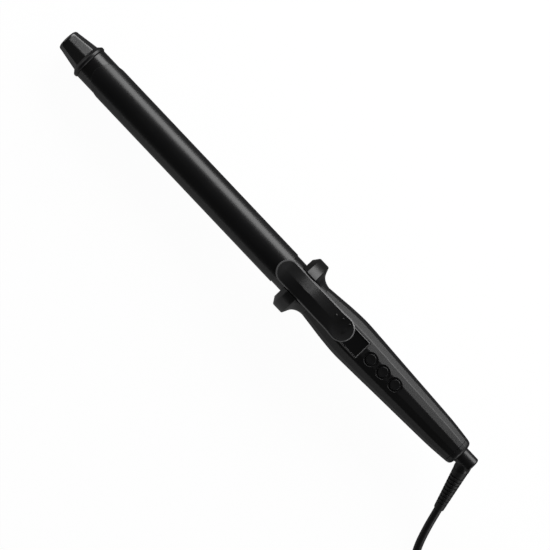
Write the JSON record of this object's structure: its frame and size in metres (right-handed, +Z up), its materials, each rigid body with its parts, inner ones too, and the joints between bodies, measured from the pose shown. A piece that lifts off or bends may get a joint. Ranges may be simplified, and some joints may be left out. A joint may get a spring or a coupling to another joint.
{
  "type": "curling iron",
  "caption": "Curling iron with a round barrel, sprung clip with thumb lever, heat guard, faceted handle with display and buttons, and a swivel cord.",
  "frame": {"origin": "on the table under the middle of the iron's own box, without its free cord", "axes": "+X towards the cool tip, +Z up through the thumb lever, +Y to the side on which the cord leaves"},
  "size_m": [0.5713, 0.148, 0.0501],
  "materials": {
    "barrel_coating": "satin black ceramic coating",
    "clip_coating": "satin black coating, a little duller than the barrel",
    "tip_plastic": "fine-textured black heat-resistant plastic",
    "collar_plastic": "satin black plastic",
    "guard_plastic": "satin black moulded plastic",
    "lever_plastic": "satin black moulded plastic",
    "handle_plastic": "satin black moulded plastic",
    "bezel_plastic": "polished black plastic",
    "window_plastic": "smoked black window",
    "button_plastic": "soft-touch black plastic",
    "spring_steel": "bright steel",
    "screw_steel": "dark zinc plated steel",
    "heater_ceramic": "white alumina ceramic",
    "spreader_aluminium": "extruded aluminium",
    "insulator_resin": "brown phenolic resin",
    "sensor_glass": "glass bead",
    "fuse_metal": "plated fuse case",
    "wire_insulation": "silicone wire insulation",
    "board_laminate": "green glass-fibre laminate",
    "component_plastic": "black component epoxy",
    "capacitor_film": "yellow film capacitor",
    "module_plastic": "display module",
    "contact_brass": "plain brass",
    "swivel_plastic": "satin black plastic",
    "relief_rubber": "black soft PVC",
    "cord_jacket": "black PVC jacket",
    "tie_strap": "black woven hook-and-loop strap",
    "plug_pvc": "black moulded PVC",
    "blade_metal": "nickel plated brass"
  },
  "bodies": {
    "cord_swivel_block": {"swivel_block": "swivel_plastic", "ring_contact": "contact_brass", "centre_contact": "contact_brass", "strain_relief": "relief_rubber", "cord_lead": "cord_jacket", "cord_coil": "cord_jacket", "cord_tail": "cord_jacket", "cord_tie": "tie_strap", "plug_body": "plug_pvc", "plug_blades": "blade_metal"},
    "handle": {"cool_tip": "tip_plastic", "tip_collar": "collar_plastic", "barrel_tube": "barrel_coating", "barrel_insulator": "insulator_resin", "barrel_screws": "screw_steel", "heater_plate": "heater_ceramic", "upper_heat_spreader": "spreader_aluminium", "lower_heat_spreader": "spreader_aluminium", "thermistor": "sensor_glass", "thermal_fuse": "fuse_metal", "heater_leads": "wire_insulation", "sensor_leads": "wire_insulation", "hinge_bracket": "spring_steel", "hinge_pin": "spring_steel", "clip_spring": "spring_steel", "heat_guard": "guard_plastic", "handle_upper": "handle_plastic", "handle_lower": "handle_plastic", "handle_screws": "screw_steel", "end_cap": "handle_plastic", "display_bezel": "bezel_plastic", "display_window": "window_plastic", "display_module": "module_plastic", "display_holder": "component_plastic", "circuit_board": "board_laminate", "board_screws": "screw_steel", "tact_switches": "component_plastic", "triac": "component_plastic", "filter_capacitor": "capacitor_film", "glass_fuse": "sensor_glass", "mains_leads": "wire_insulation", "brush_strips": "contact_brass"},
    "clip": {"clip_plate": "clip_coating", "clip_arm": "spring_steel", "thumb_lever": "lever_plastic", "lever_screws": "screw_steel"},
    "power_button": {"power_button": "button_plastic"},
    "heat_up_button": {"heat_up_button": "button_plastic"},
    "heat_down_button": {"heat_down_button": "button_plastic"}
  },
  "joints": [
    {"name": "cord_swivel", "type": "hinge", "parent": "cord_swivel_block", "child": "handle", "pos_m": [-0.19662, 0, 0.02736], "axis": [0.9993, 0, -0.0366], "continuous": true},
    {"name": "clip_hinge", "type": "hinge", "parent": "handle", "child": "clip", "pos_m": [-0.02823, 0, 0.0375], "axis": [0, -1, 0], "range_deg": [0, 9], "stiffness_Nm_per_rad": 0.4, "springref_deg": -20.05, "deforming": ["clip_spring"]},
    {"name": "power_button_press", "type": "slide", "parent": "handle", "child": "power_button", "axis": [-0.0366, 0, -0.9993], "range_m": [0, 0.0004], "stiffness_N_per_m": 800, "springref_m": -0.0006},
    {"name": "heat_up_button_press", "type": "slide", "parent": "handle", "child": "heat_up_button", "axis": [-0.0366, 0, -0.9993], "range_m": [0, 0.0004], "stiffness_N_per_m": 800, "springref_m": -0.0006},
    {"name": "heat_down_button_press", "type": "slide", "parent": "handle", "child": "heat_down_button", "axis": [-0.0366, 0, -0.9993], "range_m": [0, 0.0004], "stiffness_N_per_m": 800, "springref_m": -0.0006}
  ]
}
